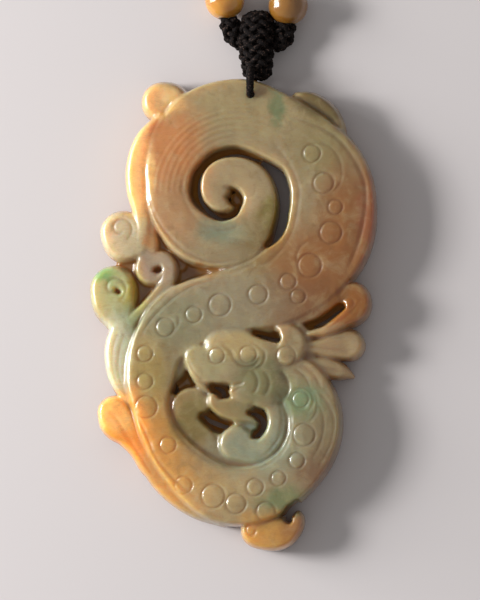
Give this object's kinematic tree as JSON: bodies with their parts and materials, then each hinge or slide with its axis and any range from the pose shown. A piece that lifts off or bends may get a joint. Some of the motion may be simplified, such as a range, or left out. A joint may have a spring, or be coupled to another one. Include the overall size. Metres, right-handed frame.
{
  "type": "jade pendant carving",
  "caption": "Pierced jade pendant carved as a coiled dragon in low relief, on a black cord with a braided knot, beads and a tied coil.",
  "frame": {"origin": "middle of the carving's flat back, on the surface that it lies on", "axes": "+Y along the carving's length towards the drilled hole and the cord, +Z out of the carved front, +X to the viewer's right"},
  "size_m": [0.0395, 0.1055, 0.0071],
  "materials": {
    "jade": "polished, translucent, mottled grey-green to orange",
    "black_cord": "twisted and waxed",
    "ochre_bead": "polished"
  },
  "bodies": {
    "root": {"jade_dragon": "jade", "cord_knot": "black_cord", "cord_run_left": "black_cord", "cord_run_right": "black_cord", "cord_coil": "black_cord", "cord_tie": "black_cord", "bead_left": "ochre_bead", "bead_right": "ochre_bead"}
  },
  "joints": []
}
